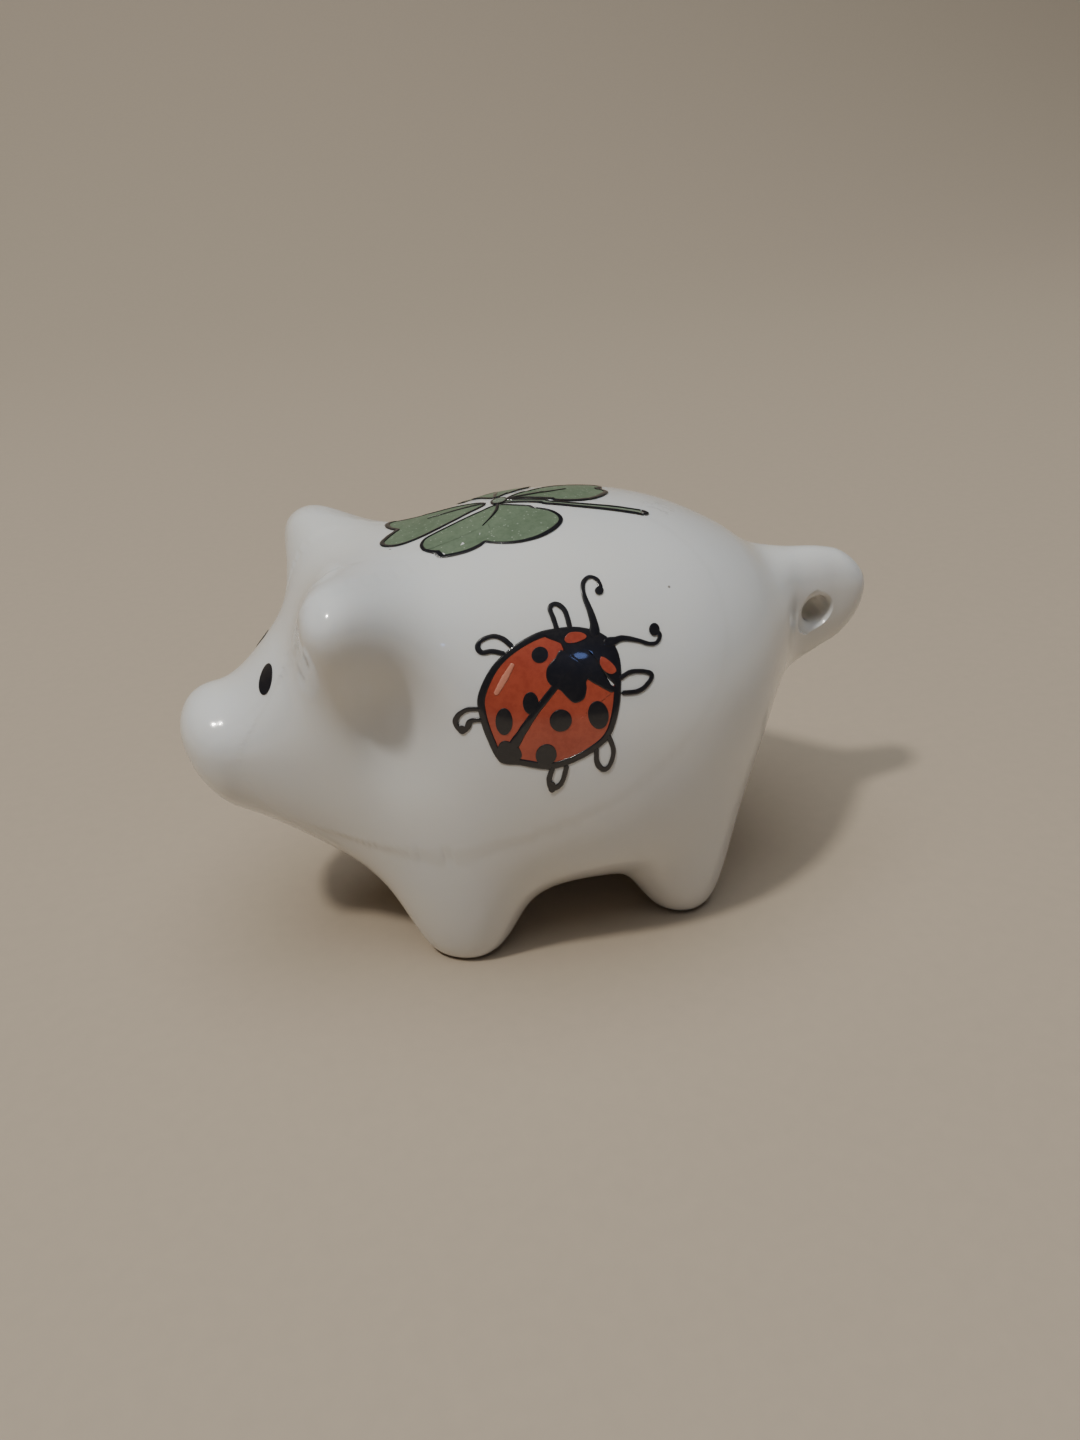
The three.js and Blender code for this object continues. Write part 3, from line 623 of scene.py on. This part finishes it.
def make_ladybird(black, red, pink):
    """Red wing cases, the black drawing over them, spots, cheek marks and a pale brush stroke."""
    for side, outline in wing_cases():
        node = f"ladybird_wing_case_{'left' if side > 0 else 'right'}"
        printed(f"{node}_print", [patch(LADYBIRD, outline, (-0.3, side * 1.9))],
                red, "red_enamel", node)
    rim = spline(RIM, 200, closed=True)
    ahead = rim[rim[:, 0] > 2.9]
    ahead = ahead[np.argsort(np.arctan2(ahead[:, 1], ahead[:, 0] - 2.0))]
    head = np.concatenate([spline(WING_LINE, 30)[::-1], ahead])
    lines = [
        stroke(LADYBIRD, RIM, [0.42], 1.0, 260, closed=True),
        stroke(LADYBIRD, WING_LINE, [0.3, 0.4, 0.35, 0.4, 0.45], 1.15, 60),
        stroke(LADYBIRD, SEAM, SEAM_WIDTHS, 1.3, 60),
        patch(LADYBIRD, head, (3.75, -0.2), 1.05),
        patch(LADYBIRD, spline(SHIELD, 72, closed=True), (1.7, 0.1), 1.2),
        patch(LADYBIRD, spline(BACK_TIP, 40, closed=True), (-3.9, 0.05), 1.25),
    ]
    lines += [stroke(LADYBIRD, leg, [0.32, 0.3, 0.3, 0.34, 0.3], 1.35) for leg in BUG_LEGS]
    lines += [stroke(LADYBIRD, feeler, [0.75, 0.45, 0.3, 0.27, 0.27, 0.3], 1.4)
              for feeler in FEELERS]
    lines += [patch(LADYBIRD, oval(*knob), knob[:2], 1.45) for knob in KNOBS]
    printed("ladybird_linework_print", lines, black, "black_enamel", "ladybird_linework")
    for i, spot in enumerate(SPOTS, 1):
        printed(f"ladybird_spot_{i}_print", [patch(LADYBIRD, oval(*spot), spot[:2], 1.1)],
                black, "black_enamel", f"ladybird_spot_{i}")
    for i, cheek in enumerate(CHEEKS, 1):
        mark = patch(LADYBIRD, spline(cheek, 60, closed=True), np.mean(cheek, axis=0), 2.1)
        printed(f"ladybird_cheek_{i}_print", [mark],
                red, "red_enamel", f"ladybird_cheek_{i}")
    printed("ladybird_glint_print", [stroke(LADYBIRD, GLINT, [0.25, 0.42, 0.3], 1.1)],
            pink, "pink_enamel", "ladybird_glint")


# The clover's drawing: p runs to the tail, q over the back to the right flank. Each leaflet: its
# centre, its vein, its outline from its point round both lobes, and the line's widths along that
LEAFLETS = {
    "near": ((-1.2, -2.6), [(-0.1, -0.5), (-0.4, -1.3), (-0.9, -2.0), (-1.6, -2.7)],
             [(-0.2, -0.6), (-1.4, -0.85), (-2.9, -1.15), (-4.3, -1.5), (-4.95, -1.8), (-5.25, -2.4),
              (-5.15, -3.1), (-4.7, -3.65), (-3.9, -4.05), (-3.0, -4.25), (-2.3, -4.2),
              (-1.85, -4.05), (-1.45, -4.35), (-0.7, -4.75), (0.2, -4.95), (1.3, -4.85),
              (2.3, -4.4), (3.0, -3.75), (3.15, -3.1), (2.75, -2.35), (1.9, -1.75), (0.9, -1.2)],
             [0.14, 0.16, 0.18, 0.24, 0.32, 0.28, 0.13, 0.24, 0.32, 0.28, 0.18, 0.14]),
    "front": ((-4.6, 0.7), [(-0.7, 0.1), (-1.9, 0.55), (-3.2, 0.95), (-4.3, 1.2)],
              [(-0.8, 0.1), (-2.3, -0.5), (-3.9, -0.95), (-5.3, -1.35), (-6.4, -1.5), (-7.1, -1.15),
               (-7.25, -0.6), (-6.9, -0.1), (-6.45, 0.4), (-6.15, 0.75), (-6.4, 1.2), (-6.55, 1.8),
               (-6.4, 2.45), (-5.8, 2.85), (-4.7, 2.8), (-3.4, 2.2), (-2.0, 1.3)],
              [0.14, 0.16, 0.2, 0.3, 0.32, 0.26, 0.3, 0.26, 0.18, 0.14]),
    "far": ((0.5, 3.2), [(0.0, 0.7), (0.2, 1.6), (0.45, 2.5), (0.5, 3.2)],
            [(0.0, 0.8), (-0.9, 2.0), (-1.9, 3.3), (-1.8, 4.5), (-0.8, 5.0), (0.2, 4.6), (0.6, 4.4),
             (1.1, 4.7), (2.2, 5.0), (3.0, 4.3), (2.8, 3.2), (1.4, 1.8)],
            [0.14, 0.2, 0.34, 0.28, 0.34, 0.2, 0.14]),
    "back": ((4.8, 0.9), [(0.6, 0.05), (2.2, 0.2), (3.8, 0.6), (4.9, 1.0)],
             [(0.7, 0.1), (1.7, -0.2), (2.9, -0.65), (4.1, -1.05), (5.2, -1.1), (6.2, -0.75),
              (7.0, -0.15), (7.45, 0.45), (7.3, 0.95), (7.05, 1.25), (7.4, 1.6), (7.55, 2.2),
              (7.1, 2.85), (6.1, 2.95), (4.6, 2.45), (2.6, 1.3)],
             [0.14, 0.2, 0.3, 0.36, 0.3, 0.26, 0.3, 0.2, 0.14]),
}
KNOT = (0.1, -0.05)
STEM = [(0.2, -0.25), (2.3, -1.0), (4.5, -1.8), (6.6, -2.35), (8.8, -2.9)]
STEM_HALF = 0.21


def edge_of_stem(side):
    """One long edge of the stem, drawn in towards the knot and out towards the cut tip."""
    path = spline(STEM, 24)
    where = np.linspace(0, 1, len(path))
    path[:, 1] += side * STEM_HALF * (0.8 + 0.5 * where**2)
    return path


def make_clover(black, green, grey):
    """Four leaflets with their outlines and veins, and a stem with dark edges and a knot."""
    for i, (name, (centre, vein, outline, widths)) in enumerate(LEAFLETS.items()):
        leaf = patch(CLOVER, spline(outline, 160, closed=True), centre)
        printed(f"clover_leaflet_{name}_print", [leaf], green, "green_enamel",
                f"clover_leaflet_{name}")
        level = 1 + i * 0.1
        lines = [stroke(CLOVER, outline, widths, level, 240, closed=True),
                 stroke(CLOVER, vein, [0.2, 0.24, 0.14, 0.06], level + 0.4)]
        printed(f"clover_outline_{name}_print", lines, black, "black_enamel",
                f"clover_outline_{name}")
    near, far = edge_of_stem(-1), edge_of_stem(1)
    stem = patch(CLOVER, np.concatenate([near, far[::-1]]), STEM[2], 0.3)
    printed("clover_stem_print", [stem], grey, "green_enamel", "clover_stem")
    printed("clover_knot_print", [patch(CLOVER, oval(*KNOT, 0.46, 0.36, 0.3), KNOT, 2.0)],
            grey, "green_enamel", "clover_knot")
    tip = STEM[-1]
    cut_end = [near[-1], (tip[0] + 0.28, tip[1]), far[-1]]
    lines = [stroke(CLOVER, near, [0.12, 0.2, 0.24, 0.26], 1.6, 90),
             stroke(CLOVER, cut_end, [0.24, 0.3, 0.22], 1.8, 24)]
    printed("clover_stem_edge_near_print", lines, black, "black_enamel", "clover_stem_edge_near")
    lines = [stroke(CLOVER, far, [0.12, 0.16, 0.18, 0.2], 1.7, 90),
             stroke(CLOVER, oval(*KNOT, 0.5, 0.4, 0.3, 16), [0.13, 0.18, 0.12], 2.2, 60, closed=True)]
    printed("clover_stem_edge_far_print", lines, black, "black_enamel", "clover_stem_edge_far")


# ---- The stage --------------------------------------------------------------------------------

AIM = Vector((-0.31, 0.0, 13.61)) * MM
CAMERA_TURN, CAMERA_RISE, CAMERA_ROLL = math.radians(-12.2), math.radians(29.93), math.radians(4.5)
CAMERA_AWAY = 79.45 * MM
LENS, SENSOR = 27.05, 36.0


def out_from(turn, rise):
    """Unit vector from the pig towards a place at that turn from -Y, and that height angle."""
    return Vector((math.sin(turn) * math.cos(rise), -math.cos(turn) * math.cos(rise), math.sin(rise)))


def make_camera():
    """Camera that looks at AIM, rolled about its own axis."""
    back = out_from(CAMERA_TURN, CAMERA_RISE)
    right = Vector((0, 0, 1)).cross(back).normalized()
    up = back.cross(right)
    c, s = math.cos(CAMERA_ROLL), math.sin(CAMERA_ROLL)
    axes = Matrix((right * c - up * s, right * s + up * c, back)).transposed()
    data = bpy.data.cameras.new("camera")
    data.lens, data.sensor_width = LENS, SENSOR
    data.clip_start, data.clip_end = 0.002, 20.0
    camera = bpy.data.objects.new("camera", data)
    camera.matrix_world = Matrix.Translation(AIM + back * CAMERA_AWAY) @ axes.to_4x4()
    bpy.context.scene.collection.objects.link(camera)
    bpy.context.scene.camera = camera


def make_light(name, turn, rise, away, size, watts, colour, shows=True):
    """Round lamp that faces the pig, at a turn and height angle in degrees."""
    data = bpy.data.lights.new(name, "AREA")
    data.shape, data.size, data.energy, data.color = "DISK", size, watts, colour
    lamp = bpy.data.objects.new(name, data)
    out = out_from(math.radians(turn), math.radians(rise))
    lamp.location = AIM + out * away
    lamp.rotation_euler = out.to_track_quat("Z", "Y").to_euler()
    lamp.visible_glossy = shows
    bpy.context.scene.collection.objects.link(lamp)


def make_stage():
    """Paper that lies flat and sweeps up behind the pig, a dim sky and four lamps."""
    run = np.linspace(-1.2, 1.6, 57)
    across = np.linspace(-2.5, 2.5, 3)
    x, y = np.meshgrid(across, run, indexing="ij")
    z = 0.9 * np.maximum(y - 0.25, 0) ** 2  # flat under the pig, then a parabola up behind it
    points = np.stack([x, y, z], axis=-1)
    mesh = bpy.data.meshes.new("floor")
    mesh.from_pydata(points.reshape(-1, 3), [], grid_faces(*x.shape, False)[:, ::-1].tolist())
    mesh.shade_smooth()
    floor = bpy.data.objects.new("floor", mesh)
    bpy.context.scene.collection.objects.link(floor)
    f = Finish("floor_paper")
    f.feed("Base Color", f.mix(f.noise(900, 3), (0.46, 0.38, 0.29), (0.50, 0.41, 0.31)))
    f.set(Roughness=0.8)
    mesh.materials.append(f.material)
    world = bpy.data.worlds.new("studio")
    world.use_nodes = True
    sky = world.node_tree.nodes["Background"]
    sky.inputs["Color"].default_value = (0.86, 0.92, 1.0, 1)
    sky.inputs["Strength"].default_value = 0.025
    bpy.context.scene.world = world
    make_light("ceiling_lamp", -60, 63, 1.0, 0.085, 4.3, (1.0, 0.96, 0.88))
    make_light("ceiling", -30, 86, 0.9, 1.0, 6.0, (0.93, 0.97, 1.0), shows=False)
    make_light("window", 50, 10, 1.2, 0.6, 0.3, (0.5, 0.7, 1.0), shows=False)
    make_light("screen", 3, 31, 0.5, 0.03, 0.02, (0.25, 0.4, 1.0))


# ---- Making it --------------------------------------------------------------------------------

make_camera()
make_stage()
make_porcelain()
black_enamel = enamel("black_enamel", (0.010, 0.010, 0.014), (0.022, 0.020, 0.022), 3000, 0.4, 0.7)
red_enamel = enamel("red_enamel", (0.46, 0.085, 0.045), (0.35, 0.055, 0.030), 2600, 0.35, 0.7)
pink_enamel = enamel("pink_enamel", (0.68, 0.27, 0.18), (0.58, 0.2, 0.13), 2600, 0.35, 0.7)
green_enamel = enamel("green_enamel", (0.165, 0.215, 0.14), (0.115, 0.16, 0.10), 2600, 0.35, 0.7,
                      speckle=((0.40, 0.45, 0.36), 5200.0, 0.28, 0.8), gloss=0.12)
make_eyes(black_enamel)
make_ladybird(black_enamel, red_enamel, pink_enamel)
grey_enamel = enamel("grey_green_enamel", (0.22, 0.26, 0.19), (0.15, 0.19, 0.14), 2600, 0.35, 0.7,
                     speckle=((0.42, 0.46, 0.36), 5200.0, 0.28, 0.8), gloss=0.12)
make_clover(black_enamel, green_enamel, grey_enamel)
